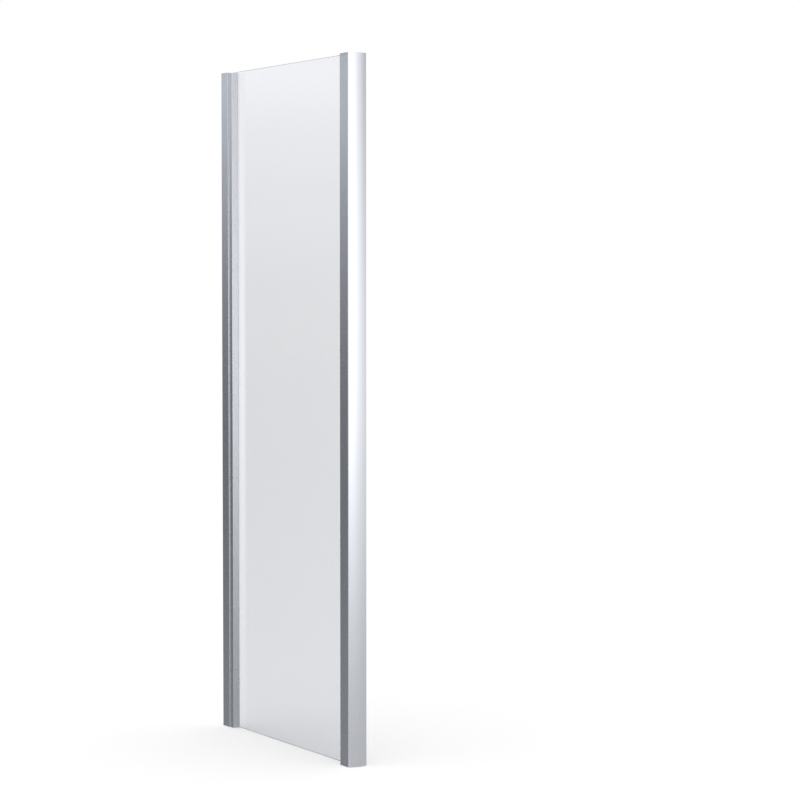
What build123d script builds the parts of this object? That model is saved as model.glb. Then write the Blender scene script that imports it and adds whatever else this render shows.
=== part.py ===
from build123d import *

import os

# Shower side panel: a wall channel, an adjuster profile that telescopes out of it, a pane of
# toughened glass and a wide corner post that also takes the frame of a door.
#
# Millimetres. The origin lies on the wall plane, at the foot of the wall channel and midway across
# its width. +X runs away from the wall along the panel, -Y is the outside of the enclosure, +Y is
# the shower side and +Z is up. Sections are drawn in plan and raised along Z.

# Heights above the panel's foot
overall_height = 1900.0
channel_top = 1898.0
glass_foot = 1.0
glass_top = 1899.0

# How far a cutter runs past the face that it opens
cut_past = 1.0

# Wall channel
channel_depth = 41.0
channel_width = 34.0
channel_wall = 2.0
channel_lid_plate = 1.5
channel_mouth_radius = 0.6
lid_rib_offset = 8.0
lid_rib_depth = 4.0
lid_peg_overhang = 2.0
sealant_groove_width = 4.0
sealant_groove_depth = 0.6
sealant_groove_offset = 12.0
wall_hole_radius = 2.75
wall_hole_heights = (100.0, 650.0, 1250.0, 1800.0)

# Width adjustment, measured from the position that is drawn
travel_in = 18.0
travel_out = 7.0
slide_clearance = 0.3
lid_clearance = 0.5

# Adjuster profile
profile_wall = 1.8
adjuster_tail = 20.5
adjuster_web = 32.0
adjuster_mouth = 62.0
adjuster_jaw_end = 48.0
tail_hook = 1.4
adjuster_corner_radius = 1.0
cap_plate = 1.5

# Glass and the strips that hold it
glass_thickness = 6.0
glass_edge_gap = 2.2
glass_arris = 0.5
pocket_outer_face = 4.3
outer_gasket = 1.0
inner_gasket = 1.6
gasket_bead = 2.5
gasket_bead_height = 3.0
gasket_nose_radius = 0.6
gasket_bead_radius = 1.5
edge_block_height = 40.0
edge_block_heights = (200.0, 950.0, 1700.0)
setting_pad_length = 9.0

# Locking screws, in the adjuster's inner leg
locking_screw_x = 28.0
locking_screw_heights = (250.0, 950.0, 1650.0)
locking_shank_radius = 1.9
screw_hole_clearance = 0.1
locking_screw_length = 9.5
slot_width = 5.2
slot_end_room = 0.5
cup_washer_radius = 6.5
cup_washer_plate = 0.8
cup_washer_rim_height = 1.6
cup_washer_rim_wall = 0.9
pan_head_radius = 3.6
pan_head_height = 2.4
pan_head_bevel = 0.8
snap_cap_radius = 7.6
snap_cap_top = 0.8
snap_cap_height = 5.0
snap_cap_rounding = 1.8
snap_cap_clearance = 0.1

# Corner post
post_start = 710.0
post_side_depth = 44.5
post_width = 56.0
post_bow = 6.5
post_corner_radius = 3.5
pocket_depth = 14.2
door_channel_clear = 30.0
door_hole_radius = 2.1
door_hole_heights = (150.0, 650.0, 1250.0, 1750.0)
door_hole_inset = 12.0
screw_port_bore = 1.75
screw_port_wall = 1.7
screw_port_mouth = 2.0
screw_port_neck = 0.55
screw_port_mouth_directions = (45.0, -90.0)
front_port_inset = 34.0

# Post caps
post_cap_height = 7.0
post_foot_plate = 2.0
cap_joint_height = 0.6
cap_joint_inset = 0.5
cap_edge_chamfer = 0.6
peg_depth = 10.0
peg_wall = 1.6
peg_clearance = 0.2
cap_screw_shank_radius = 1.7
cap_screw_length = 16.0
cap_screw_head_radius = 3.6
cap_screw_head_height = 2.2
cross_slot_length = 4.0
cross_slot_width = 0.9
cross_slot_depth = 1.2

# Places that follow from the sizes above
channel_half = channel_width / 2
channel_inside = channel_half - channel_wall
adjuster_half = channel_inside - slide_clearance
glass_outer_face = pocket_outer_face + outer_gasket
glass_inner_face = glass_outer_face + glass_thickness
pocket_inner_face = glass_inner_face + inner_gasket
jaw_inner_side = pocket_inner_face + profile_wall
adjuster_pocket_floor = adjuster_web + profile_wall
adjuster_top = channel_top - channel_lid_plate - lid_clearance
post_side_end = post_start + post_side_depth
post_outer_side = -channel_half
post_inner_side = post_outer_side + post_width
post_pocket_floor = post_start + pocket_depth
door_channel_far = post_side_end - profile_wall
door_channel_near = door_channel_far - door_channel_clear
door_wall_start = door_channel_near - profile_wall
glass_start = adjuster_pocket_floor + glass_edge_gap
glass_end = post_pocket_floor - glass_edge_gap
post_extrusion_top = overall_height - post_cap_height
adjuster_extrusion_top = adjuster_top - cap_plate
channel_extrusion_top = channel_top - channel_lid_plate
bow_radius = (post_width**2 / 4 + post_bow**2) / (2 * post_bow)
bow_centre_x = post_side_end + post_bow - bow_radius
bow_centre_y = (post_outer_side + post_inner_side) / 2
past_the_front = post_side_end + post_bow + cut_past
port_radius = screw_port_bore + screw_port_wall
port_stand_off = port_radius - screw_port_neck
screw_ports = (
    (post_start + profile_wall + port_stand_off, post_outer_side + profile_wall + port_stand_off),
    (post_start + front_port_inset, pocket_inner_face - port_stand_off),
)


def strip(x_from, x_to, y_from, y_to):
    """A rectangle of a section, between two corners in plan."""
    middle = Pos((x_from + x_to) / 2, (y_from + y_to) / 2)
    return middle * Rectangle(x_to - x_from, y_to - y_from)


def disc(x, y, radius):
    """A round face of a section."""
    return Pos(x, y) * Circle(radius)


def rounded(section, corners, radius):
    """The section with the corners nearest to the given points rounded."""
    chosen = []
    for x, y in corners:
        chosen.append(section.vertices().sort_by_distance((x, y, 0))[0])
    return fillet(chosen, radius)


def hollow_peg(x_from, x_to, y_from, y_to):
    """A hollow rectangle of a section, one peg wall thick."""
    hole = strip(x_from + peg_wall, x_to - peg_wall, y_from + peg_wall, y_to - peg_wall)
    return strip(x_from, x_to, y_from, y_to) - hole


def upright(section, z_from, z_to):
    """A section raised between two heights."""
    return Pos(0, 0, z_from) * extrude(section, z_to - z_from)


def rod_along_x(x, y, z, radius, length):
    """A round bar along X, centred on the point."""
    return Pos(x, y, z) * Rot(0, 90, 0) * Cylinder(radius, length)


def disc_along_y(x, y_from, y_to, z, radius):
    """A round bar along Y, between two Y places."""
    return Pos(x, (y_from + y_to) / 2, z) * Rot(90, 0, 0) * Cylinder(radius, y_to - y_from)


def wall_channel():
    """U extrusion with sealant grooves, ribs for the lid and slots for the locking screws."""
    section = strip(0, channel_wall, -channel_half, channel_half)
    for side in (-1, 1):
        flange_middle = side * (channel_half - channel_wall / 2)
        section += Pos(channel_depth / 2, flange_middle) * Rectangle(channel_depth, channel_wall)
        rib = Rectangle(lid_rib_depth, profile_wall)
        section += Pos(channel_wall + lid_rib_depth / 2, side * lid_rib_offset) * rib
        groove = Rectangle(2 * sealant_groove_depth, sealant_groove_width)
        section -= Pos(0, side * sealant_groove_offset) * groove
    mouth = []
    for side in (-1, 1):
        mouth.append((channel_depth, side * channel_half))
        mouth.append((channel_depth, side * channel_inside))
    section = rounded(section, mouth, channel_mouth_radius)
    channel = upright(section, 0, channel_extrusion_top)
    for z in wall_hole_heights:
        channel -= rod_along_x(channel_wall / 2, 0, z, wall_hole_radius, channel_wall + 2 * cut_past)
    screw_reach = locking_shank_radius + screw_hole_clearance + slot_end_room
    slot_from = locking_screw_x - travel_in - screw_reach
    slot_to = locking_screw_x + travel_out + screw_reach
    slot_middle = (slot_from + slot_to) / 2
    for z in locking_screw_heights:
        face = Plane(origin=(slot_middle, channel_inside, z), x_dir=(1, 0, 0), z_dir=(0, 1, 0))
        slot = face * SlotOverall(slot_to - slot_from, slot_width)
        channel -= extrude(slot, channel_wall + cut_past, both=True)
    return channel


def wall_channel_lid():
    """Flat lid with a notch for the glass and a hollow peg held between the channel's ribs."""
    notch_start = glass_start - travel_in - slide_clearance
    plate = strip(0, channel_depth, -channel_half, channel_half)
    plate -= strip(notch_start, channel_depth + cut_past, pocket_outer_face, pocket_inner_face)
    corners = ((channel_depth, -channel_half), (channel_depth, channel_half))
    plate = rounded(plate, corners, channel_mouth_radius)
    peg_side = lid_rib_offset - profile_wall / 2
    peg_end = channel_wall + lid_rib_depth + lid_peg_overhang
    peg = hollow_peg(channel_wall, peg_end, -peg_side, peg_side)
    lid = upright(plate, channel_extrusion_top, channel_top)
    return lid + upright(peg, channel_extrusion_top - peg_depth, channel_extrusion_top)


def adjuster_section():
    """Two tail legs, a box that shows outside, and a pocket for the glass behind the box."""
    outer_leg_inside = -adjuster_half + profile_wall
    box = strip(adjuster_web, adjuster_mouth, -adjuster_half, pocket_outer_face)
    box -= strip(
        adjuster_pocket_floor,
        adjuster_mouth - profile_wall,
        outer_leg_inside,
        pocket_outer_face - profile_wall,
    )
    web = strip(adjuster_web, adjuster_pocket_floor, -adjuster_half, adjuster_half)
    outer_leg = strip(adjuster_tail, adjuster_web, -adjuster_half, outer_leg_inside)
    outer_hook = strip(
        adjuster_tail, adjuster_tail + profile_wall, -adjuster_half, outer_leg_inside + tail_hook
    )
    inner_leg_and_jaw = strip(adjuster_tail, adjuster_jaw_end, pocket_inner_face, adjuster_half)
    inner_hook = strip(
        adjuster_tail, adjuster_tail + profile_wall, pocket_inner_face - tail_hook, adjuster_half
    )
    section = box + web + outer_leg + outer_hook + inner_leg_and_jaw + inner_hook
    return rounded(section, ((adjuster_mouth, -adjuster_half),), adjuster_corner_radius)


def adjuster_profile():
    """The sliding extrusion, drilled in its inner leg for the locking screws."""
    profile = upright(adjuster_section(), cap_plate, adjuster_extrusion_top)
    hole_radius = locking_shank_radius + screw_hole_clearance
    for z in locking_screw_heights:
        hole_from = pocket_inner_face - cut_past
        profile -= disc_along_y(locking_screw_x, hole_from, adjuster_half + cut_past, z, hole_radius)
    return profile


def adjuster_plug(plate_from, plate_to, peg_from, peg_to):
    """A plate that closes the adjuster's box, with a hollow peg that goes into it."""
    plate = strip(adjuster_web, adjuster_mouth, -adjuster_half, pocket_outer_face)
    plate = rounded(plate, ((adjuster_mouth, -adjuster_half),), adjuster_corner_radius)
    inset = profile_wall + peg_clearance
    peg = hollow_peg(
        adjuster_web + inset, adjuster_mouth - inset, -adjuster_half + inset, pocket_outer_face - inset
    )
    return upright(plate, plate_from, plate_to) + upright(peg, peg_from, peg_to)


def adjuster_top_cap():
    """Plug in the top of the adjuster's box."""
    peg_foot = adjuster_extrusion_top - peg_depth
    return adjuster_plug(adjuster_extrusion_top, adjuster_top, peg_foot, adjuster_extrusion_top)


def adjuster_foot_cap():
    """Plug in the foot of the adjuster's box."""
    return adjuster_plug(0, cap_plate, cap_plate, cap_plate + peg_depth)


def glass_pane():
    """One flat pane with arrissed edges."""
    section = strip(glass_start, glass_end, glass_outer_face, glass_inner_face)
    pane = upright(section, glass_foot, glass_top)
    faces = pane.faces().sort_by(Axis.Y)
    return chamfer(faces[0].edges() + faces[-1].edges(), glass_arris)


def outer_gasket_strip(x_from, x_to, nose_x, z_from, z_to):
    """Flat strip on the outside of the glass, with a rounded nose at the pocket's mouth."""
    section = strip(x_from, x_to, pocket_outer_face, glass_outer_face)
    section = rounded(section, ((nose_x, pocket_outer_face),), gasket_nose_radius)
    return upright(section, z_from, z_to)


def inner_gasket_strip(x_deep, x_mouth, z_from, z_to):
    """Wedge strip on the shower side, with a bead that covers the end of the jaw."""
    outward = 1 if x_mouth > x_deep else -1
    blade = strip(min(x_deep, x_mouth), max(x_deep, x_mouth), glass_inner_face, pocket_inner_face)
    bead_end = x_mouth + outward * gasket_bead
    bead_top = glass_inner_face + gasket_bead_height
    bead = strip(min(x_mouth, bead_end), max(x_mouth, bead_end), glass_inner_face, bead_top)
    section = rounded(blade + bead, ((bead_end, bead_top),), gasket_bead_radius)
    return upright(section, z_from, z_to)


def adjuster_outer_gasket():
    """Strip between the adjuster's box and the glass."""
    return outer_gasket_strip(
        adjuster_pocket_floor, adjuster_mouth, adjuster_mouth, cap_plate, adjuster_extrusion_top
    )


def adjuster_inner_gasket():
    """Wedge strip between the glass and the adjuster's jaw."""
    return inner_gasket_strip(glass_start, adjuster_jaw_end, cap_plate, adjuster_extrusion_top)


def post_outer_gasket():
    """Strip between the post's outer jaw and the glass."""
    return outer_gasket_strip(
        post_start, post_pocket_floor, post_start, post_foot_plate, post_extrusion_top
    )


def post_inner_gasket():
    """Wedge strip between the glass and the post's inner jaw."""
    return inner_gasket_strip(glass_end, post_start, post_foot_plate, post_extrusion_top)


def edge_blocks(x_from, x_to):
    """Blocks that keep the glass edge off the floor of its pocket."""
    blocks = []
    for z in edge_block_heights:
        section = strip(x_from, x_to, glass_outer_face, glass_inner_face)
        blocks.append(upright(section, z - edge_block_height / 2, z + edge_block_height / 2))
    return Compound(blocks)


def glass_setting_pads():
    """Thin pads that carry the glass, one in the foot of each pocket."""
    pads = []
    for x_from in (glass_start, glass_end - setting_pad_length):
        section = strip(x_from, x_from + setting_pad_length, glass_outer_face, glass_inner_face)
        pads.append(upright(section, 0, glass_foot))
    return Compound(pads)


def cross_recess():
    """The cutter for a cross drive, half of it below Z = 0."""
    blade = Box(cross_slot_length, cross_slot_width, 2 * cross_slot_depth)
    return blade + Rot(0, 0, 90) * blade


def locking_screws():
    """Pan head screws through the channel's slots into the adjuster's inner leg."""
    screws = []
    seat = channel_half + slide_clearance + cup_washer_plate
    for z in locking_screw_heights:
        shank = disc_along_y(locking_screw_x, seat - locking_screw_length, seat, z, locking_shank_radius)
        head = disc_along_y(locking_screw_x, seat, seat + pan_head_height, z, pan_head_radius)
        head = chamfer(head.edges().filter_by(GeomType.CIRCLE).sort_by(Axis.Y)[-1], pan_head_bevel)
        drive = Pos(locking_screw_x, seat + pan_head_height, z) * Rot(90, 0, 0) * cross_recess()
        screws.append(shank + head - drive)
    return Compound(screws)


def locking_cup_washers():
    """Washers with a rim that the snap caps grip."""
    washers = []
    seat = channel_half + slide_clearance
    well_floor = seat + cup_washer_plate
    rim_end = well_floor + cup_washer_rim_height
    well_radius = cup_washer_radius - cup_washer_rim_wall
    hole_radius = locking_shank_radius + screw_hole_clearance
    for z in locking_screw_heights:
        washer = disc_along_y(locking_screw_x, seat, rim_end, z, cup_washer_radius)
        washer -= disc_along_y(locking_screw_x, well_floor, rim_end + cut_past, z, well_radius)
        washer -= disc_along_y(locking_screw_x, seat - cut_past, rim_end, z, hole_radius)
        washers.append(washer)
    return Compound(washers)


def locking_snap_caps():
    """Domed shells over the screw heads."""
    caps = []
    seat = channel_half + slide_clearance
    inside_top = seat + snap_cap_height - snap_cap_top
    inside_radius = cup_washer_radius + snap_cap_clearance
    for z in locking_screw_heights:
        cap = disc_along_y(locking_screw_x, seat, seat + snap_cap_height, z, snap_cap_radius)
        cap = fillet(cap.edges().filter_by(GeomType.CIRCLE).sort_by(Axis.Y)[-1], snap_cap_rounding)
        cap -= disc_along_y(locking_screw_x, seat - cut_past, inside_top, z, inside_radius)
        caps.append(cap)
    return Compound(caps)


def post_outline():
    """The post's outer shape, with the pocket and the door channel still filled in."""
    outline = strip(post_start, past_the_front, post_outer_side, post_inner_side)
    outline &= disc(bow_centre_x, bow_centre_y, bow_radius)
    outline -= strip(
        post_start - cut_past, door_wall_start, jaw_inner_side, post_inner_side + cut_past
    )
    corners = ((post_side_end, post_outer_side), (post_side_end, post_inner_side))
    return rounded(outline, corners, post_corner_radius)


def inside_the_bow(y_from, y_to, x_from):
    """The hollow between a place in X and the inner side of the bowed front."""
    hollow = disc(bow_centre_x, bow_centre_y, bow_radius - profile_wall)
    return hollow & strip(x_from, past_the_front, y_from, y_to)


def screw_port(x, y, mouth_direction):
    """A round boss with a slit, for a self-tapping screw along the extrusion."""
    slit_length = port_radius + cut_past
    slit = Pos(x, y) * Rot(0, 0, mouth_direction) * Pos(slit_length / 2, 0)
    boss = disc(x, y, port_radius) - disc(x, y, screw_port_bore)
    return boss - slit * Rectangle(slit_length, screw_port_mouth)


def post_section():
    """Main chamber with two screw ports, one in a filled corner, glazing pocket and door channel."""
    chamber_side = post_outer_side + profile_wall
    section = post_outline()
    section -= inside_the_bow(chamber_side, pocket_outer_face - profile_wall, post_start + profile_wall)
    section -= inside_the_bow(chamber_side, pocket_inner_face, post_pocket_floor + profile_wall)
    section -= inside_the_bow(jaw_inner_side, post_inner_side - profile_wall, post_side_end)
    section -= glazing_pocket()
    section -= strip(door_channel_near, door_channel_far, jaw_inner_side, post_inner_side + cut_past)
    corner_port_x, corner_port_y = screw_ports[0]
    section += strip(post_start, corner_port_x, post_outer_side, corner_port_y)
    for (x, y), mouth_direction in zip(screw_ports, screw_port_mouth_directions):
        section += screw_port(x, y, mouth_direction)
        section -= disc(x, y, screw_port_bore)
    return section


def glazing_pocket():
    """The cutter for the post's glazing pocket."""
    return strip(post_start - cut_past, post_pocket_floor, pocket_outer_face, pocket_inner_face)


def corner_post():
    """The post extrusion, drilled through the door channel's near wall."""
    post = upright(post_section(), post_foot_plate, post_extrusion_top)
    hole_x = door_wall_start + profile_wall / 2
    hole_y = post_inner_side - door_hole_inset
    for z in door_hole_heights:
        post -= rod_along_x(hole_x, hole_y, z, door_hole_radius, profile_wall + 2 * cut_past)
    return post


def cap_outline():
    """The outline of a post cap, notched round the glass and its gaskets."""
    return post_outline() - glazing_pocket()


def post_pegs():
    """Hollow pegs for the post's main chamber and for its door channel."""
    chamber = hollow_peg(
        post_pocket_floor + profile_wall + peg_clearance,
        post_side_end - post_corner_radius,
        post_outer_side + profile_wall + peg_clearance,
        pocket_outer_face - profile_wall,
    )
    door = hollow_peg(
        door_channel_near + peg_clearance,
        door_channel_far - peg_clearance,
        jaw_inner_side + peg_clearance,
        post_inner_side - profile_wall,
    )
    return chamber + door


def post_top_cap():
    """Cap with a fine recessed joint line, countersunk for two screws into the ports."""
    outline = cap_outline()
    neck_top = post_extrusion_top + cap_joint_height
    crown = upright(outline, neck_top, overall_height)
    crown = chamfer(crown.faces().sort_by(Axis.Z)[-1].outer_wire().edges(), cap_edge_chamfer)
    neck = upright(offset(outline, -cap_joint_inset), post_extrusion_top, neck_top)
    cap = crown + neck + upright(post_pegs(), post_extrusion_top - peg_depth, post_extrusion_top)
    hole_radius = cap_screw_shank_radius + screw_hole_clearance
    sink_radius = cap_screw_head_radius + screw_hole_clearance
    for x, y in screw_ports:
        sink_place = Pos(x, y, overall_height - cap_screw_head_height / 2)
        cap -= sink_place * Cone(hole_radius, sink_radius, cap_screw_head_height)
        cap -= upright(disc(x, y, hole_radius), post_extrusion_top - cut_past, overall_height)
    return cap


def post_cap_screws():
    """Countersunk screws that run into the post's screw ports."""
    screws = []
    for x, y in screw_ports:
        head_place = Pos(x, y, overall_height - cap_screw_head_height / 2)
        head = head_place * Cone(cap_screw_shank_radius, cap_screw_head_radius, cap_screw_head_height)
        shank_top = overall_height - cap_screw_head_height
        shank_foot = overall_height - cap_screw_length
        shank = upright(disc(x, y, cap_screw_shank_radius), shank_foot, shank_top)
        screws.append(head + shank - Pos(x, y, overall_height) * cross_recess())
    return Compound(screws)


def post_foot_cap():
    """Thin foot plate with pegs that push into the post."""
    plate = upright(cap_outline(), 0, post_foot_plate)
    return plate + upright(post_pegs(), post_foot_plate, post_foot_plate + peg_depth)


def build():
    """Every node and its shape."""
    return {
        "wall_channel": wall_channel(),
        "wall_channel_lid": wall_channel_lid(),
        "adjuster_profile": adjuster_profile(),
        "adjuster_top_cap": adjuster_top_cap(),
        "adjuster_foot_cap": adjuster_foot_cap(),
        "adjuster_outer_gasket": adjuster_outer_gasket(),
        "adjuster_inner_gasket": adjuster_inner_gasket(),
        "adjuster_edge_blocks": edge_blocks(adjuster_pocket_floor, glass_start),
        "locking_screws": locking_screws(),
        "locking_cup_washers": locking_cup_washers(),
        "locking_snap_caps": locking_snap_caps(),
        "glass_pane": glass_pane(),
        "glass_setting_pads": glass_setting_pads(),
        "corner_post": corner_post(),
        "post_outer_gasket": post_outer_gasket(),
        "post_inner_gasket": post_inner_gasket(),
        "post_edge_blocks": edge_blocks(glass_end, post_pocket_floor),
        "post_top_cap": post_top_cap(),
        "post_cap_screws": post_cap_screws(),
        "post_foot_cap": post_foot_cap(),
    }


os.makedirs("parts", exist_ok=True)
for node, shape in build().items():
    shape.label = node
    export_step(shape, "parts/" + node + ".step")
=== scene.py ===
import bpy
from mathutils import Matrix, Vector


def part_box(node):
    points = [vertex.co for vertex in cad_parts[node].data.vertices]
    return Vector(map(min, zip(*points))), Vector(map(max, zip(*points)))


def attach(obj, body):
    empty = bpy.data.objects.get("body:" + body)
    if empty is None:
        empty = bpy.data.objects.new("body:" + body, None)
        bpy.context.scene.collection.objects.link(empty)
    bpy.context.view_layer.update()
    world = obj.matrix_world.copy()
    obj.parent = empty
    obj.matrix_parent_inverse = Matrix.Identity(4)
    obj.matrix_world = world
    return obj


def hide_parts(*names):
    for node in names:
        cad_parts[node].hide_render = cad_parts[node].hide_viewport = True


bl_info = {
    "name": "Shower Side Panel",
    "version": (1, 0, 0),
    "blender": (4, 5, 0),
    "location": "View3D > Sidebar > Side Panel",
    "description": "Finishes, seals and studio for a framed glass shower side panel",
    "category": "Object",
}

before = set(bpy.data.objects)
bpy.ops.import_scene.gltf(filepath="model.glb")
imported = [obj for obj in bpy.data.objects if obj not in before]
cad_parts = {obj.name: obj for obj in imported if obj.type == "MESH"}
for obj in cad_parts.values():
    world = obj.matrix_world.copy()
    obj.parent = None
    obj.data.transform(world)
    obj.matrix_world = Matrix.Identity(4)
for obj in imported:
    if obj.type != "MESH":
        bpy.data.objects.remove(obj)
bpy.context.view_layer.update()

import math

import bmesh
import bpy
from mathutils import Euler, Vector

MM = 0.001

# Places in plan that the boards stand round
PANEL_MIDDLE = (0.38, -0.017)
POST_PLACE = (0.74, 0.0)

FLOOR_COLOUR = (0.72, 0.72, 0.725)
FLOOR_GLOW = 0.34
FLOOR_SIDES = 96

# Strips, blocks and pads round the glass
SEAL_CLEARANCE = 0.02 * MM
END_ROUND = 0.2 * MM
STRIP_WEB_SHARE = 0.5
RIB_WIDTH = 1.0 * MM
RIB_PITCH = 3.6 * MM
RIB_STEPS = 6
WEDGE_THICKNESS = 1.6 * MM
BEAD_WIDTH = 2.5 * MM
BARB_DEPTH = 0.5 * MM
BARB_COUNT = 4
EDGE_BLOCK_COUNT = 3
EDGE_BLOCK_HEIGHT = 40.0 * MM
SETTING_PAD_LENGTH = 9.0 * MM
BLOCK_ROUND = 0.4 * MM
BLOCK_GROOVE = 0.3 * MM
BLOCK_GROOVE_COUNT = 4
PAD_CROWN_SHARE = 0.2

# The boards show only in reflections: a tint for those on the outer side, and the
# share of a board's width over which each of its sides fades out
COOL_TINT = (0.96, 0.985, 1.03)
NO_TINT = (1.0, 1.0, 1.0)
BOARD_SOFT_SIDE = 0.1

# The grey of each board by height, as (z, grey)
OUTER_BOARD = ((-3.0, 0.26), (-0.9, 0.24), (0.0, 0.17), (1.2, 0.155), (2.4, 0.2), (6.0, 0.3))
OUTER_STRIP = (
    (-1.6, 0.262),
    (-0.9, 0.262),
    (-0.4, 0.2),
    (0.4, 0.158),
    (0.7, 0.175),
    (1.2, 0.29),
    (1.74, 0.56),
    (2.0, 0.74),
    (2.4, 1.2),
    (2.65, 0.9),
    (2.9, 0.3),
)
CORNER_BOARD = ((-1.6, 0.3), (-0.3, 0.3), (0.4, 0.45), (1.0, 0.8), (1.6, 1.0), (3.0, 1.0))
FRONT_BOARD = (
    (-1.4, 0.36),
    (-0.5, 0.5),
    (-0.3, 0.58),
    (0.0, 0.77),
    (0.42, 1.12),
    (0.85, 1.55),
    (1.5, 1.58),
    (2.05, 1.35),
    (2.6, 1.3),
    (3.4, 1.1),
)
FRONT_BOARD_SIDE = (
    (-1.4, 0.45),
    (-0.32, 0.58),
    (0.06, 0.66),
    (0.45, 0.76),
    (0.84, 0.81),
    (1.22, 0.77),
    (1.59, 0.67),
    (2.0, 0.52),
    (2.3, 0.47),
    (3.4, 0.4),
)

# The curved front board: its radius, the azimuths of its sides, and those between
# which it turns from the one set of greys to the other
FRONT_BOARD_RADIUS = 3.0
FRONT_BOARD_STEPS = 36
FRONT_BOARD_SPAN = (-55.0, 125.0)
FRONT_BOARD_TURN = (-3.0, 78.0)

BRIGHT_EXTRUSIONS = ("wall_channel", "corner_post")
# The adjuster's colour is darker than the other extrusions: painted shade for the recess it sits in
# behind the channel.
SHADE_PAINTED_EXTRUSIONS = ("adjuster_profile",)
MOULDED_CAPS = (
    "wall_channel_lid",
    "adjuster_top_cap",
    "adjuster_foot_cap",
    "post_top_cap",
    "post_foot_cap",
)
SCREWS = ("locking_screws", "post_cap_screws")
SCREW_COVERS = ("locking_cup_washers", "locking_snap_caps")
OUTER_GASKETS = ("adjuster_outer_gasket", "post_outer_gasket")
INNER_GASKETS = ("adjuster_inner_gasket", "post_inner_gasket")
EDGE_BLOCKS = ("adjuster_edge_blocks", "post_edge_blocks")


class FinishSettings(bpy.types.PropertyGroup):
    """Colours and surface sizes of the panel's finishes."""

    aluminium_colour: bpy.props.FloatVectorProperty(
        name="Aluminium colour",
        description="Colour of the satin anodised extrusions",
        default=(0.752, 0.775, 0.82),
        min=0.0,
        max=1.0,
        subtype="COLOR",
    )
    # Darker than the aluminium colour: painted shade for the adjuster's recess, on the same satin
    # finish.
    adjuster_shaded_colour: bpy.props.FloatVectorProperty(
        name="Adjuster colour",
        description="Colour of the sliding profile, darkened as painted shade of its recess",
        default=(0.69, 0.71, 0.75),
        min=0.0,
        max=1.0,
        subtype="COLOR",
    )
    aluminium_roughness: bpy.props.FloatProperty(
        name="Aluminium roughness",
        description="Roughness of the satin anodised extrusions",
        default=0.27,
        min=0.0,
        max=1.0,
        subtype="FACTOR",
    )
    die_line_spacing: bpy.props.FloatProperty(
        name="Die line spacing",
        description="Usual distance between the fine lines along an extrusion",
        default=0.5 * MM,
        min=0.05 * MM,
        unit="LENGTH",
    )
    cap_colour: bpy.props.FloatVectorProperty(
        name="Cap colour",
        description="Colour of the silver moulded caps",
        default=(0.752, 0.775, 0.82),
        min=0.0,
        max=1.0,
        subtype="COLOR",
    )
    glass_colour: bpy.props.FloatVectorProperty(
        name="Glass colour",
        description="Tint of the clear pane, for one face of it",
        default=(0.834, 0.841, 0.863),
        min=0.0,
        max=1.0,
        subtype="COLOR",
    )
    glass_edge_colour: bpy.props.FloatVectorProperty(
        name="Glass edge colour",
        description="Tint of the ground edges of the pane",
        default=(0.8, 0.88, 0.87),
        min=0.0,
        max=1.0,
        subtype="COLOR",
    )
    gasket_colour: bpy.props.FloatVectorProperty(
        name="Gasket colour",
        description="Colour of the clear strips beside the glass",
        default=(0.94, 0.95, 0.96),
        min=0.0,
        max=1.0,
        subtype="COLOR",
    )
    rubber_colour: bpy.props.FloatVectorProperty(
        name="Rubber colour",
        description="Colour of the blocks and pads round the glass",
        default=(0.035, 0.035, 0.037),
        min=0.0,
        max=1.0,
        subtype="COLOR",
    )
    screw_colour: bpy.props.FloatVectorProperty(
        name="Screw colour",
        description="Colour of the stainless screws",
        default=(0.6, 0.59, 0.575),
        min=0.0,
        max=1.0,
        subtype="COLOR",
    )


class StudioSettings(bpy.types.PropertyGroup):
    """Camera, floor and light."""

    camera_place: bpy.props.FloatVectorProperty(
        name="Camera place",
        description="Where the camera stands",
        default=(6.5725, -3.2430, 1.2834),
        subtype="TRANSLATION",
        unit="LENGTH",
    )
    camera_heading: bpy.props.FloatProperty(
        name="Camera heading",
        description="Direction that the camera looks in, anticlockwise from +X",
        default=math.radians(149.808),
        subtype="ANGLE",
    )
    camera_tilt: bpy.props.FloatProperty(
        name="Camera tilt",
        description="How far the camera looks up",
        default=math.radians(-2.595),
        subtype="ANGLE",
    )
    camera_lens: bpy.props.FloatProperty(
        name="Camera lens",
        description="Focal length in millimetres on a sensor 36 mm wide",
        default=113.03,
        min=1.0,
    )
    floor_radius: bpy.props.FloatProperty(
        name="Floor radius",
        description="Radius of the pale floor",
        default=40.0,
        min=1.0,
        unit="LENGTH",
    )
    world_level: bpy.props.FloatProperty(
        name="World level",
        description="Strength of the even light from all round",
        default=0.92,
        min=0.0,
    )


def settings():
    """The finish and studio settings of the scene."""
    return bpy.context.scene.side_panel_finish, bpy.context.scene.side_panel_studio


def new_group(name, inputs, outputs):
    """An empty shader node group, from its (name, default) inputs and (name, type) outputs."""
    group = bpy.data.node_groups.new(name, "ShaderNodeTree")
    for label, default in inputs:
        socket = group.interface.new_socket(label, in_out="INPUT", socket_type="NodeSocketFloat")
        socket.default_value = default
    for label, kind in outputs:
        group.interface.new_socket(label, in_out="OUTPUT", socket_type=kind)
    return group, group.nodes.new("NodeGroupInput"), group.nodes.new("NodeGroupOutput")


def math_node(tree, operation, *values):
    """A math node whose inputs are numbers or sockets; gives its output socket."""
    node = tree.nodes.new("ShaderNodeMath")
    node.operation = operation
    for slot, value in enumerate(values):
        if isinstance(value, (int, float)):
            node.inputs[slot].default_value = value
        else:
            tree.links.new(value, node.inputs[slot])
    return node.outputs[0]


def part_place(tree):
    """The place in the part's own frame."""
    return tree.nodes.new("ShaderNodeTexCoord").outputs["Object"]


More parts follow.
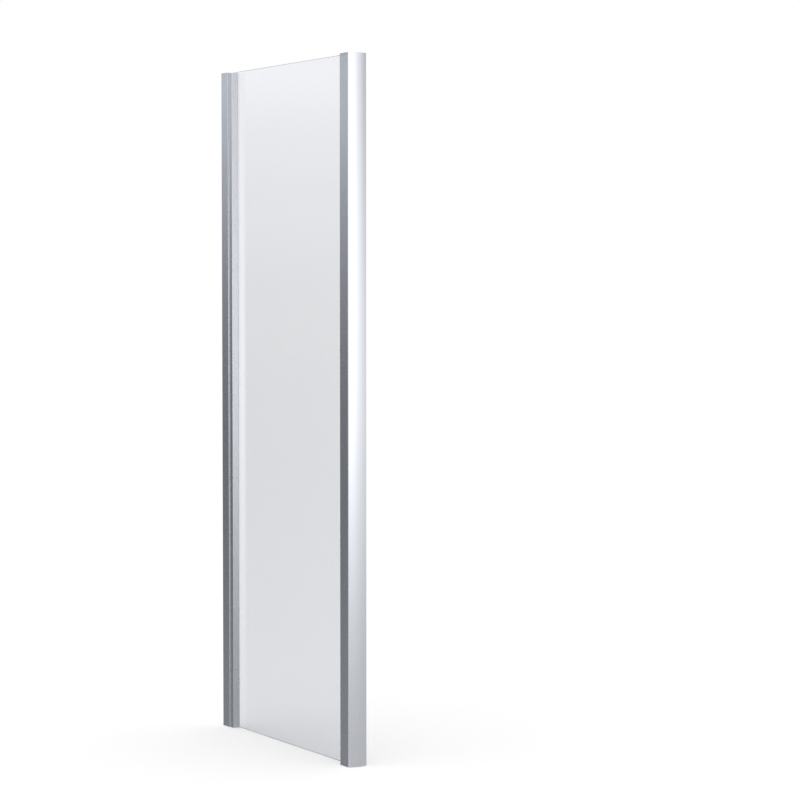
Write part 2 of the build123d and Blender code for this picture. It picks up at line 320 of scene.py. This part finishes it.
def noise_node(tree, vector, scale, detail=2.0):
    """A noise texture; gives its value socket."""
    noise = tree.nodes.new("ShaderNodeTexNoise")
    tree.links.new(vector, noise.inputs["Vector"])
    if isinstance(scale, (int, float)):
        noise.inputs["Scale"].default_value = scale
    else:
        tree.links.new(scale, noise.inputs["Scale"])
    noise.inputs["Detail"].default_value = detail
    return noise.outputs["Fac"]


def die_lines_group():
    """Fine straight lines along Z, as a die leaves them on an extrusion."""
    if "Die Lines" in bpy.data.node_groups:
        return bpy.data.node_groups["Die Lines"]
    tree, given, result = new_group(
        "Die Lines", [("Spacing", 0.0005), ("Length", 0.6)], [("Lines", "NodeSocketFloat")]
    )
    across = math_node(tree, "DIVIDE", 1.0, given.outputs["Spacing"])
    along = math_node(tree, "DIVIDE", 1.0, given.outputs["Length"])
    scale = tree.nodes.new("ShaderNodeCombineXYZ")
    tree.links.new(across, scale.inputs["X"])
    tree.links.new(across, scale.inputs["Y"])
    tree.links.new(along, scale.inputs["Z"])
    stretch = tree.nodes.new("ShaderNodeVectorMath")
    stretch.operation = "MULTIPLY"
    tree.links.new(part_place(tree), stretch.inputs[0])
    tree.links.new(scale.outputs[0], stretch.inputs[1])
    tree.links.new(noise_node(tree, stretch.outputs[0], 1.0, 3.0), result.inputs["Lines"])
    return tree


def mottle_group():
    """Slow changes over a surface, between a low and a high value."""
    if "Mottle" in bpy.data.node_groups:
        return bpy.data.node_groups["Mottle"]
    tree, given, result = new_group(
        "Mottle",
        [("Patch Size", 0.05), ("Low", 0.2), ("High", 0.3)],
        [("Value", "NodeSocketFloat")],
    )
    scale = math_node(tree, "DIVIDE", 1.0, given.outputs["Patch Size"])
    spread = tree.nodes.new("ShaderNodeMapRange")
    spread.inputs["From Min"].default_value = 0.3
    spread.inputs["From Max"].default_value = 0.7
    tree.links.new(noise_node(tree, part_place(tree), scale, 4.0), spread.inputs["Value"])
    tree.links.new(given.outputs["Low"], spread.inputs["To Min"])
    tree.links.new(given.outputs["High"], spread.inputs["To Max"])
    tree.links.new(spread.outputs["Result"], result.inputs["Value"])
    return tree


def grain_group():
    """The fine even grain of a moulded or matt surface."""
    if "Fine Grain" in bpy.data.node_groups:
        return bpy.data.node_groups["Fine Grain"]
    tree, given, result = new_group(
        "Fine Grain", [("Grain Size", 0.0003)], [("Height", "NodeSocketFloat")]
    )
    scale = math_node(tree, "DIVIDE", 1.0, given.outputs["Grain Size"])
    tree.links.new(noise_node(tree, part_place(tree), scale, 2.0), result.inputs["Height"])
    return tree


def add_group(tree, group, **values):
    """Places a node group in a material with its own values."""
    node = tree.nodes.new("ShaderNodeGroup")
    node.node_tree = group
    for label, value in values.items():
        node.inputs[label.replace("_", " ")].default_value = value
    return node


def new_material(name, colour, roughness, metallic=0.0):
    """A material with one Principled shader."""
    material = bpy.data.materials.new(name)
    material.use_nodes = True
    shader = material.node_tree.nodes["Principled BSDF"]
    shader.inputs["Base Color"].default_value = (*colour, 1.0)
    shader.inputs["Roughness"].default_value = roughness
    shader.inputs["Metallic"].default_value = metallic
    return material, material.node_tree, shader


def add_bump(tree, shader, height, depth, strength=1.0):
    """Feeds a height through a Bump node to the shader's normal."""
    bump = tree.nodes.new("ShaderNodeBump")
    bump.inputs["Distance"].default_value = depth
    bump.inputs["Strength"].default_value = strength
    tree.links.new(height, bump.inputs["Height"])
    tree.links.new(bump.outputs["Normal"], shader.inputs["Normal"])


def vary_colour(tree, shader, colour, value, spread):
    """Lets a value from 0 to 1 lighten and darken a colour a little."""
    mix = tree.nodes.new("ShaderNodeMix")
    mix.data_type = "RGBA"
    mix.inputs["A"].default_value = (*(channel * (1 - spread) for channel in colour), 1.0)
    mix.inputs["B"].default_value = (*(min(1.0, channel * (1 + spread)) for channel in colour), 1.0)
    tree.links.new(value, mix.inputs["Factor"])
    tree.links.new(mix.outputs["Result"], shader.inputs["Base Color"])


def satin_aluminium(name, colour):
    """Bright satin anodised extrusion with fine die lines."""
    finish = settings()[0]
    rough = finish.aluminium_roughness
    material, tree, shader = new_material(name, colour, rough, 1.0)
    lines = add_group(tree, die_lines_group(), Spacing=finish.die_line_spacing, Length=0.7)
    patches = add_group(tree, mottle_group(), Patch_Size=0.06, Low=rough - 0.008, High=rough + 0.008)
    vary_colour(tree, shader, colour, lines.outputs["Lines"], 0.015)
    tree.links.new(patches.outputs["Value"], shader.inputs["Roughness"])
    add_bump(tree, shader, lines.outputs["Lines"], 0.0015 * MM, 0.5)
    return material


def silver_moulding():
    """Silver satin moulded caps, with a fine grain."""
    finish = settings()[0]
    colour = tuple(finish.cap_colour)
    material, tree, shader = new_material("Silver satin moulding", colour, 0.3, 1.0)
    grain = add_group(tree, grain_group(), Grain_Size=0.25 * MM)
    patches = add_group(tree, mottle_group(), Patch_Size=0.01, Low=0.27, High=0.34)
    vary_colour(tree, shader, colour, grain.outputs["Height"], 0.03)
    tree.links.new(patches.outputs["Value"], shader.inputs["Roughness"])
    add_bump(tree, shader, grain.outputs["Height"], 0.01 * MM, 0.4)
    return material


def clear_glass():
    """Toughened glass with clear faces and a paler, ground edge."""
    finish = settings()[0]
    colour = tuple(finish.glass_colour)
    material, tree, shader = new_material("Toughened glass", colour, 0.0)
    shader.inputs["IOR"].default_value = 1.5
    shader.inputs["Transmission Weight"].default_value = 1.0
    normal = tree.nodes.new("ShaderNodeSeparateXYZ")
    tree.links.new(tree.nodes.new("ShaderNodeTexCoord").outputs["Normal"], normal.inputs[0])
    face = math_node(tree, "ABSOLUTE", normal.outputs["Y"])
    edge = math_node(tree, "LESS_THAN", face, 0.9)
    tint = tree.nodes.new("ShaderNodeMix")
    tint.data_type = "RGBA"
    tint.inputs["A"].default_value = (*finish.glass_colour, 1.0)
    tint.inputs["B"].default_value = (*finish.glass_edge_colour, 1.0)
    tree.links.new(edge, tint.inputs["Factor"])
    tree.links.new(tint.outputs["Result"], shader.inputs["Base Color"])
    tree.links.new(math_node(tree, "MULTIPLY", edge, 0.25), shader.inputs["Roughness"])
    let_light_through(material, 0.8)
    return material


def let_light_through(material, share):
    """Lets lamps shine through a clear material, so that it casts only a faint shadow."""
    tree = material.node_tree
    shader = tree.nodes["Principled BSDF"]
    output = tree.nodes["Material Output"]
    clear = tree.nodes.new("ShaderNodeBsdfTransparent")
    clear.inputs["Color"].default_value = (share, share, share, 1.0)
    path = tree.nodes.new("ShaderNodeLightPath")
    mix = tree.nodes.new("ShaderNodeMixShader")
    tree.links.new(path.outputs["Is Shadow Ray"], mix.inputs["Fac"])
    tree.links.new(shader.outputs["BSDF"], mix.inputs[1])
    tree.links.new(clear.outputs["BSDF"], mix.inputs[2])
    tree.links.new(mix.outputs["Shader"], output.inputs["Surface"])


def clear_vinyl():
    """Soft clear strip, slightly cloudy."""
    finish = settings()[0]
    colour = tuple(finish.gasket_colour)
    material, tree, shader = new_material("Clear soft vinyl", colour, 0.3)
    shader.inputs["IOR"].default_value = 1.45
    shader.inputs["Transmission Weight"].default_value = 0.55
    patches = add_group(tree, mottle_group(), Patch_Size=0.03, Low=0.26, High=0.4)
    tree.links.new(patches.outputs["Value"], shader.inputs["Roughness"])
    grain = add_group(tree, grain_group(), Grain_Size=0.6 * MM)
    add_bump(tree, shader, grain.outputs["Height"], 0.02 * MM, 0.5)
    return material


def dark_rubber():
    """Matt rubber with a fine grain."""
    finish = settings()[0]
    colour = tuple(finish.rubber_colour)
    material, tree, shader = new_material("Dark rubber", colour, 0.7)
    grain = add_group(tree, grain_group(), Grain_Size=0.4 * MM)
    vary_colour(tree, shader, colour, grain.outputs["Height"], 0.25)
    add_bump(tree, shader, grain.outputs["Height"], 0.03 * MM, 0.7)
    return material


def stainless_screw():
    """Stainless steel with a soft uneven polish."""
    finish = settings()[0]
    colour = tuple(finish.screw_colour)
    material, tree, shader = new_material("Stainless screw", colour, 0.25, 1.0)
    patches = add_group(tree, mottle_group(), Patch_Size=0.002, Low=0.2, High=0.36)
    tree.links.new(patches.outputs["Value"], shader.inputs["Roughness"])
    vary_colour(tree, shader, colour, patches.outputs["Value"], 0.08)
    return material


def silver_cover():
    """Silver screw covers of glossy plastic."""
    finish = settings()[0]
    colour = tuple(finish.cap_colour)
    material, tree, shader = new_material("Silver screw cover", colour, 0.25, 1.0)
    grain = add_group(tree, grain_group(), Grain_Size=0.3 * MM)
    vary_colour(tree, shader, colour, grain.outputs["Height"], 0.02)
    add_bump(tree, shader, grain.outputs["Height"], 0.008 * MM, 0.4)
    return material


def dress(nodes, material):
    """Gives CAD nodes a material."""
    for name in nodes:
        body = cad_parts[name]
        body.data.materials.clear()
        body.data.materials.append(material)


def mesh_object(name, mesh):
    """Turns a bmesh into an object of the scene."""
    data = bpy.data.meshes.new(name)
    mesh.to_mesh(data)
    mesh.free()
    piece = bpy.data.objects.new(name, data)
    bpy.context.scene.collection.objects.link(piece)
    return piece


def softened_ends(foot, top, inset):
    """The rings of a bar whose two ends are drawn in a little."""
    return (foot, inset), (foot + inset, 0.0), (top - inset, 0.0), (top, inset)


def stand_up(name, outline, foot, top):
    """A bar that stands along Z, with softened ends."""
    mesh = bmesh.new()
    add_bar(mesh, outline, softened_ends(foot, top, END_ROUND))
    return mesh_object(name, mesh)


def add_bar(mesh, outline, rings_at):
    """Adds one closed bar to a mesh, from its rings given as (z, inset)."""
    middle = sum(outline, Vector((0.0, 0.0))) / len(outline)
    rings = []
    for z, inset in rings_at:
        ring = []
        for point in outline:
            drawn_in = point + (middle - point).normalized() * inset
            ring.append(mesh.verts.new((drawn_in.x, drawn_in.y, z)))
        rings.append(ring)
    for low, high in zip(rings, rings[1:]):
        for index in range(len(outline)):
            after = (index + 1) % len(outline)
            mesh.faces.new((low[index], low[after], high[after], high[index]))
    mesh.faces.new(rings[0])
    mesh.faces.new(rings[-1])
    bmesh.ops.recalc_face_normals(mesh, faces=mesh.faces)


def arc(centre, radius, start, end, steps):
    """Points along an arc, with its start and end angle in degrees."""
    points = []
    for step in range(steps + 1):
        angle = math.radians(start + (end - start) * step / steps)
        points.append(centre + Vector((math.cos(angle), math.sin(angle))) * radius)
    return points


def mirrored(points, middle_x):
    """The same outline, turned about a place in X."""
    return [Vector((2 * middle_x - point.x, point.y)) for point in reversed(points)]


def ribbed_strip_outline(deep_x, mouth_x, metal_y, glass_y):
    """Flat strip with a round nose at the mouth and round ribs that press on the glass."""
    gap = glass_y - metal_y
    nose = gap / 2 - SEAL_CLEARANCE
    nose_centre = Vector((mouth_x - gap / 2, metal_y + gap / 2))
    web_y = metal_y + gap * STRIP_WEB_SHARE
    points = [Vector((deep_x + SEAL_CLEARANCE, metal_y + SEAL_CLEARANCE))]
    points += arc(nose_centre, nose, -90, 110, 10)
    x = nose_centre.x - nose - RIB_WIDTH
    while x > deep_x + RIB_WIDTH:
        rib = arc(Vector((x, web_y)), 1.0, 0, 180, RIB_STEPS)
        for point in rib:
            across = (point.x - x) * RIB_WIDTH / 2
            up = (point.y - web_y) * (glass_y - SEAL_CLEARANCE - web_y)
            points.append(Vector((x + across, web_y + up)))
        x -= RIB_PITCH
    points.append(Vector((deep_x + SEAL_CLEARANCE, web_y)))
    return points


def wedge_bead_outline(deep_x, jaw_x, bead_x, glass_y, bead_y):
    """Barbed wedge in the pocket, with a round bead over the end of the jaw."""
    jaw_y = glass_y + WEDGE_THICKNESS
    lip = SEAL_CLEARANCE
    bead_radius = (bead_x - jaw_x) * 0.45
    near_glass = bead_radius * 0.6
    near_jaw = bead_radius * 0.5
    points = [Vector((deep_x + lip, glass_y + lip))]
    points.append(Vector((bead_x - bead_radius, glass_y + lip)))
    centre = Vector((bead_x - lip - near_glass, glass_y + lip + near_glass))
    points += arc(centre, near_glass, -90, 0, 4)
    centre = Vector((bead_x - lip - bead_radius, bead_y - lip - bead_radius))
    points += arc(centre, bead_radius, 0, 90, 5)
    centre = Vector((jaw_x + lip + near_jaw, bead_y - lip - near_jaw))
    points += arc(centre, near_jaw, 90, 180, 4)
    points.append(Vector((jaw_x + lip, jaw_y - lip)))
    step = (jaw_x - deep_x - 2 * lip) / BARB_COUNT
    for number in range(BARB_COUNT):
        root_x = jaw_x - number * step
        points.append(Vector((root_x - step * 0.25, jaw_y - lip)))
        points.append(Vector((root_x - step * 0.35, jaw_y - BARB_DEPTH)))
        points.append(Vector((root_x - step * 0.9, jaw_y - BARB_DEPTH)))
    points.append(Vector((deep_x + lip, jaw_y - BARB_DEPTH)))
    return points


def finish_piece(piece, node, material):
    """Puts a modelled piece in the place of its CAD node."""
    piece.data.materials.append(material)
    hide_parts(node)
    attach(piece, "panel")
    return piece


def soft_rectangle(x_from, x_to, y_from, y_to, radius):
    """A rectangle with rounded corners."""
    points = []
    for x, y, start in (
        (x_to - radius, y_from + radius, -90),
        (x_to - radius, y_to - radius, 0),
        (x_from + radius, y_to - radius, 90),
        (x_from + radius, y_from + radius, 180),
    ):
        points += arc(Vector((x, y)), radius, start, start + 90, 3)
    return points


def grooved_rings(foot, top):
    """The rings of a block with shallow grooves across it."""
    rings = [(foot, BLOCK_GROOVE), (foot + BLOCK_GROOVE, 0.0)]
    for number in range(1, BLOCK_GROOVE_COUNT + 1):
        z = foot + (top - foot) * number / (BLOCK_GROOVE_COUNT + 1)
        rings += [(z - 2 * BLOCK_GROOVE, 0.0), (z - BLOCK_GROOVE, BLOCK_GROOVE)]
        rings += [(z + BLOCK_GROOVE, BLOCK_GROOVE), (z + 2 * BLOCK_GROOVE, 0.0)]
    return rings + [(top - BLOCK_GROOVE, 0.0), (top, BLOCK_GROOVE)]


def smooth_by_angle(piece, degrees):
    """Smooth shading across edges that turn less than the given angle."""
    for polygon in piece.data.polygons:
        polygon.use_smooth = True
    piece.data.set_sharp_from_angle(angle=math.radians(degrees))


class PANEL_OT_extrusions(bpy.types.Operator):
    """Finish the wall channel, the adjuster and the corner post"""

    bl_idname = "side_panel.extrusions"
    bl_label = "Aluminium extrusions"

    def execute(self, context):
        finish = settings()[0]
        dress(BRIGHT_EXTRUSIONS, satin_aluminium("Satin aluminium", tuple(finish.aluminium_colour)))
        # The adjuster gets the darker colour, which paints the shade of its recess.
        dress(SHADE_PAINTED_EXTRUSIONS, satin_aluminium("Sliding aluminium with painted shade", tuple(finish.adjuster_shaded_colour)))
        return {"FINISHED"}


class PANEL_OT_caps(bpy.types.Operator):
    """Finish the lid of the channel and the caps of the adjuster and the post"""

    bl_idname = "side_panel.caps"
    bl_label = "Moulded caps"

    def execute(self, context):
        dress(MOULDED_CAPS, silver_moulding())
        return {"FINISHED"}


class PANEL_OT_glass(bpy.types.Operator):
    """Finish the glass pane"""

    bl_idname = "side_panel.glass"
    bl_label = "Glass pane"

    def execute(self, context):
        dress(("glass_pane",), clear_glass())
        return {"FINISHED"}


class PANEL_OT_fixings(bpy.types.Operator):
    """Finish the screws, the cup washers and the snap caps"""

    bl_idname = "side_panel.fixings"
    bl_label = "Screws and covers"

    def execute(self, context):
        dress(SCREWS, stainless_screw())
        dress(SCREW_COVERS, silver_cover())
        return {"FINISHED"}


class PANEL_OT_gaskets(bpy.types.Operator):
    """Model the clear strips between the glass and the metal"""

    bl_idname = "side_panel.gaskets"
    bl_label = "Glazing gaskets"

    def execute(self, context):
        vinyl = clear_vinyl()
        middle_x = (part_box("adjuster_outer_gasket")[0].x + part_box("post_outer_gasket")[1].x) / 2
        for node in OUTER_GASKETS + INNER_GASKETS:
            low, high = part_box(node)
            on_post = low.x > middle_x
            near, far = (2 * middle_x - high.x, 2 * middle_x - low.x) if on_post else (low.x, high.x)
            if node in OUTER_GASKETS:
                outline = ribbed_strip_outline(near, far, low.y, high.y)
            else:
                outline = wedge_bead_outline(near, far - BEAD_WIDTH, far, low.y, high.y)
            if on_post:
                outline = mirrored(outline, middle_x)
            piece = stand_up(node.replace("gasket", "strip"), outline, low.z, high.z)
            smooth_by_angle(piece, 40)
            finish_piece(piece, node, vinyl)
        return {"FINISHED"}


class PANEL_OT_rubber(bpy.types.Operator):
    """Model the rubber blocks and pads round the edge of the glass"""

    bl_idname = "side_panel.rubber"
    bl_label = "Rubber blocks"

    def execute(self, context):
        rubber = dark_rubber()
        for node in EDGE_BLOCKS:
            low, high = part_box(node)
            outline = soft_rectangle(low.x, high.x, low.y, high.y, BLOCK_ROUND)
            mesh = bmesh.new()
            for number in range(EDGE_BLOCK_COUNT):
                share = number / (EDGE_BLOCK_COUNT - 1)
                foot = low.z + (high.z - low.z - EDGE_BLOCK_HEIGHT) * share
                add_bar(mesh, outline, grooved_rings(foot, foot + EDGE_BLOCK_HEIGHT))
            piece = mesh_object(node.replace("edge_blocks", "grooved_blocks"), mesh)
            smooth_by_angle(piece, 30)
            finish_piece(piece, node, rubber)
        low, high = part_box("glass_setting_pads")
        mesh = bmesh.new()
        for start in (low.x, high.x - SETTING_PAD_LENGTH):
            outline = soft_rectangle(start, start + SETTING_PAD_LENGTH, low.y, high.y, BLOCK_ROUND)
            crown = (high.z - low.z) * PAD_CROWN_SHARE
            add_bar(mesh, outline, softened_ends(low.z, high.z, crown))
        piece = mesh_object("glass_rest_pads", mesh)
        finish_piece(piece, "glass_setting_pads", rubber)
        return {"FINISHED"}


def white_to_eye(tree):
    """One for rays from the camera, from a polished or satin surface, or through glass."""
    path = tree.nodes.new("ShaderNodeLightPath")
    seen = math_node(tree, "MAXIMUM", path.outputs["Is Camera Ray"], path.outputs["Is Glossy Ray"])
    return math_node(tree, "MAXIMUM", seen, path.outputs["Is Transmission Ray"])


def after_reflection(tree):
    """One for rays that have met a reflecting surface."""
    path = tree.nodes.new("ShaderNodeLightPath")
    return math_node(tree, "GREATER_THAN", path.outputs["Glossy Depth"], 0.5)


def studio_world():
    """White to the camera, in reflections and through glass, and a plain level for all else."""
    studio = settings()[1]
    world = bpy.data.worlds.new("Studio")
    bpy.context.scene.world = world
    world.use_nodes = True
    world.cycles.sampling_method = "NONE"
    tree = world.node_tree
    background = tree.nodes["Background"]
    background.inputs["Color"].default_value = (1.0, 1.0, 1.0, 1.0)
    level = tree.nodes.new("ShaderNodeMapRange")
    level.inputs["To Min"].default_value = studio.world_level
    tree.links.new(white_to_eye(tree), level.inputs["Value"])
    tree.links.new(level.outputs["Result"], background.inputs["Strength"])


def pale_floor():
    """A wide round floor, white where nothing shades it, and not seen in the panel's reflections."""
    studio = settings()[1]
    mesh = bmesh.new()
    bmesh.ops.create_circle(
        mesh, cap_ends=True, segments=FLOOR_SIDES, radius=studio.floor_radius
    )
    floor = mesh_object("floor", mesh)
    floor.visible_glossy = False
    material, tree, shader = new_material("Pale floor", FLOOR_COLOUR, 0.9)
    shader.inputs["Specular IOR Level"].default_value = 0.0
    shader.inputs["Emission Color"].default_value = (1.0, 1.0, 1.0, 1.0)
    glow = math_node(tree, "MULTIPLY", white_to_eye(tree), FLOOR_GLOW)
    tree.links.new(glow, shader.inputs["Emission Strength"])
    mix = tree.nodes.new("ShaderNodeMixShader")
    tree.links.new(after_reflection(tree), mix.inputs["Fac"])
    tree.links.new(shader.outputs["BSDF"], mix.inputs[1])
    tree.links.new(tree.nodes.new("ShaderNodeBsdfTransparent").outputs["BSDF"], mix.inputs[2])
    tree.links.new(mix.outputs["Shader"], tree.nodes["Material Output"].inputs["Surface"])
    floor.data.materials.append(material)


def grey_board(name, azimuth, distance, width, stops):
    """A flat standing board, its grey given by height as (z, grey) stops."""
    heading = math.radians(azimuth)
    away = Vector((math.cos(heading), math.sin(heading)))
    across = Vector((-away.y, away.x)) * width / 2
    middle = Vector(PANEL_MIDDLE) + away * distance
    line = [middle - across, middle + across]
    standing_board(name, line, stops[0][0], stops[-1][0], board_material(name, stops, COOL_TINT))


def curved_board(name):
    """A board bent round the post, that turns from one set of greys to another."""
    start, end = FRONT_BOARD_SPAN
    line = arc(Vector(POST_PLACE), FRONT_BOARD_RADIUS, start, end, FRONT_BOARD_STEPS)
    turn = [(azimuth - start) / (end - start) for azimuth in FRONT_BOARD_TURN]
    material = board_material(name, FRONT_BOARD, NO_TINT, FRONT_BOARD_SIDE, turn)
    standing_board(name, line, FRONT_BOARD[0][0], FRONT_BOARD[-1][0], material)


def standing_board(name, line, foot, top, material):
    """A board that stands on a line in plan and shows only in reflections."""
    mesh = bmesh.new()
    layer = mesh.loops.layers.uv.new("board")
    columns = [[mesh.verts.new((*point, z)) for z in (foot, top)] for point in line]
    for step in range(len(line) - 1):
        left, right = columns[step], columns[step + 1]
        face = mesh.faces.new((left[0], right[0], right[1], left[1]))
        shares = (step / (len(line) - 1), (step + 1) / (len(line) - 1))
        places = ((shares[0], 0), (shares[1], 0), (shares[1], 1), (shares[0], 1))
        for loop, place in zip(face.loops, places):
            loop[layer].uv = place
    board = mesh_object(name, mesh)
    board.visible_camera = False
    board.visible_diffuse = False
    board.visible_shadow = False
    board.data.materials.append(material)


def height_ramp(tree, height, stops, brightest, tint):
    """A tinted grey ramp over the height of a board; gives its colour socket."""
    foot, top = stops[0][0], stops[-1][0]
    ramp = tree.nodes.new("ShaderNodeValToRGB")
    ramp.color_ramp.interpolation = "EASE"
    elements = ramp.color_ramp.elements
    while len(elements) < len(stops):
        elements.new(0.5)
    for element, (z, grey) in zip(elements, stops):
        element.position = (z - foot) / (top - foot)
        element.color = (*(grey / brightest * channel for channel in tint), 1.0)
    tree.links.new(height, ramp.inputs["Fac"])
    return ramp.outputs["Color"]


def board_material(name, stops, tint, side_stops=None, turn=(0.0, 1.0)):
    """A glow by height with soft sides, seen only after a reflection.

    With side stops, the board turns from the first stops to these over the given
    shares of its width.
    """
    material = bpy.data.materials.new(name)
    material.use_nodes = True
    material.cycles.emission_sampling = "NONE"
    tree = material.node_tree
    tree.nodes.clear()
    place = tree.nodes.new("ShaderNodeSeparateXYZ")
    tree.links.new(tree.nodes.new("ShaderNodeTexCoord").outputs["UV"], place.inputs[0])
    brightest = max(grey for z, grey in stops)
    colour = height_ramp(tree, place.outputs["Y"], stops, brightest, tint)
    if side_stops:
        mix = tree.nodes.new("ShaderNodeMix")
        mix.data_type = "RGBA"
        share = tree.nodes.new("ShaderNodeMapRange")
        share.inputs["From Min"].default_value = turn[0]
        share.inputs["From Max"].default_value = turn[1]
        tree.links.new(place.outputs["X"], share.inputs["Value"])
        tree.links.new(share.outputs["Result"], mix.inputs["Factor"])
        tree.links.new(colour, mix.inputs["A"])
        side_colour = height_ramp(tree, place.outputs["Y"], side_stops, brightest, tint)
        tree.links.new(side_colour, mix.inputs["B"])
        colour = mix.outputs["Result"]
    glow = tree.nodes.new("ShaderNodeEmission")
    glow.inputs["Strength"].default_value = brightest
    tree.links.new(colour, glow.inputs["Color"])
    from_middle = math_node(tree, "ABSOLUTE", math_node(tree, "SUBTRACT", place.outputs["X"], 0.5))
    solid = tree.nodes.new("ShaderNodeMapRange")
    solid.interpolation_type = "SMOOTHSTEP"
    solid.inputs["From Min"].default_value = 0.5
    solid.inputs["From Max"].default_value = 0.5 - BOARD_SOFT_SIDE
    tree.links.new(from_middle, solid.inputs["Value"])
    shown = math_node(tree, "MULTIPLY", solid.outputs["Result"], after_reflection(tree))
    mix = tree.nodes.new("ShaderNodeMixShader")
    tree.links.new(shown, mix.inputs["Fac"])
    tree.links.new(tree.nodes.new("ShaderNodeBsdfTransparent").outputs["BSDF"], mix.inputs[1])
    tree.links.new(glow.outputs["Emission"], mix.inputs[2])
    tree.links.new(mix.outputs["Shader"], tree.nodes.new("ShaderNodeOutputMaterial").inputs["Surface"])
    return material


def softbox(name, place, aim, width, height, glow):
    """A soft lamp that looks at a point; the glow is what it shows in a mirror."""
    lamp = bpy.data.lights.new(name, "AREA")
    lamp.shape = "RECTANGLE"
    lamp.size = width
    lamp.size_y = height
    lamp.energy = glow * math.pi * width * height
    holder = bpy.data.objects.new(name, lamp)
    holder.location = place
    holder.rotation_euler = (Vector(aim) - Vector(place)).to_track_quat("-Z", "Y").to_euler()
    holder.visible_camera = False
    holder.visible_transmission = False
    bpy.context.scene.collection.objects.link(holder)


def photo_camera():
    """The camera at the photograph's place."""
    studio = settings()[1]
    camera = bpy.data.cameras.new("camera")
    camera.lens = studio.camera_lens
    camera.sensor_width = 36.0
    camera.clip_end = 200.0
    holder = bpy.data.objects.new("camera", camera)
    holder.location = studio.camera_place
    upright = math.pi / 2 + studio.camera_tilt
    turn = studio.camera_heading - math.pi / 2
    holder.rotation_euler = Euler((upright, 0.0, turn))
    bpy.context.scene.collection.objects.link(holder)
    bpy.context.scene.camera = holder


class PANEL_OT_stage(bpy.types.Operator):
    """Set up the floor, the light and the camera"""

    bl_idname = "side_panel.stage"
    bl_label = "Studio"

    def execute(self, context):
        pale_floor()
        studio_world()
        grey_board("outer_board", 207.7, 6.3, 9.0, OUTER_BOARD)
        grey_board("outer_strip", 207.7, 6.0, 1.42, OUTER_STRIP)
        grey_board("corner_board", 268.0, 4.0, 3.2, CORNER_BOARD)
        curved_board("front_board")
        softbox("front_softbox", (3.6, 0.0, 1.55), (0.7, 0.0, 1.5), 2.4, 2.2, 0.1)
        softbox("overhead_softbox", (0.9, -0.9, 3.6), (0.4, 0.0, 0.0), 2.4, 2.4, 0.5)
        photo_camera()
        context.scene.view_settings.view_transform = "Standard"
        return {"FINISHED"}


OPERATORS = (
    PANEL_OT_extrusions,
    PANEL_OT_caps,
    PANEL_OT_glass,
    PANEL_OT_fixings,
    PANEL_OT_gaskets,
    PANEL_OT_rubber,
    PANEL_OT_stage,
)


class VIEW3D_PT_side_panel(bpy.types.Panel):
    """Steps that finish the side panel"""

    bl_label = "Side Panel"
    bl_idname = "VIEW3D_PT_side_panel"
    bl_space_type = "VIEW_3D"
    bl_region_type = "UI"
    bl_category = "Side Panel"

    def draw(self, context):
        for operator in OPERATORS:
            self.layout.operator(operator.bl_idname)
        for group in settings():
            for label in group.__annotations__:
                self.layout.prop(group, label)


CLASSES = (FinishSettings, StudioSettings, *OPERATORS, VIEW3D_PT_side_panel)


def register():
    for item in CLASSES:
        bpy.utils.register_class(item)
    bpy.types.Scene.side_panel_finish = bpy.props.PointerProperty(type=FinishSettings)
    bpy.types.Scene.side_panel_studio = bpy.props.PointerProperty(type=StudioSettings)


def unregister():
    del bpy.types.Scene.side_panel_studio
    del bpy.types.Scene.side_panel_finish
    for item in reversed(CLASSES):
        bpy.utils.unregister_class(item)


def main():
    """Build every piece in order."""
    register()
    bpy.ops.side_panel.extrusions()
    bpy.ops.side_panel.caps()
    bpy.ops.side_panel.glass()
    bpy.ops.side_panel.fixings()
    bpy.ops.side_panel.gaskets()
    bpy.ops.side_panel.rubber()
    bpy.ops.side_panel.stage()


if __name__ == "__main__":
    main()
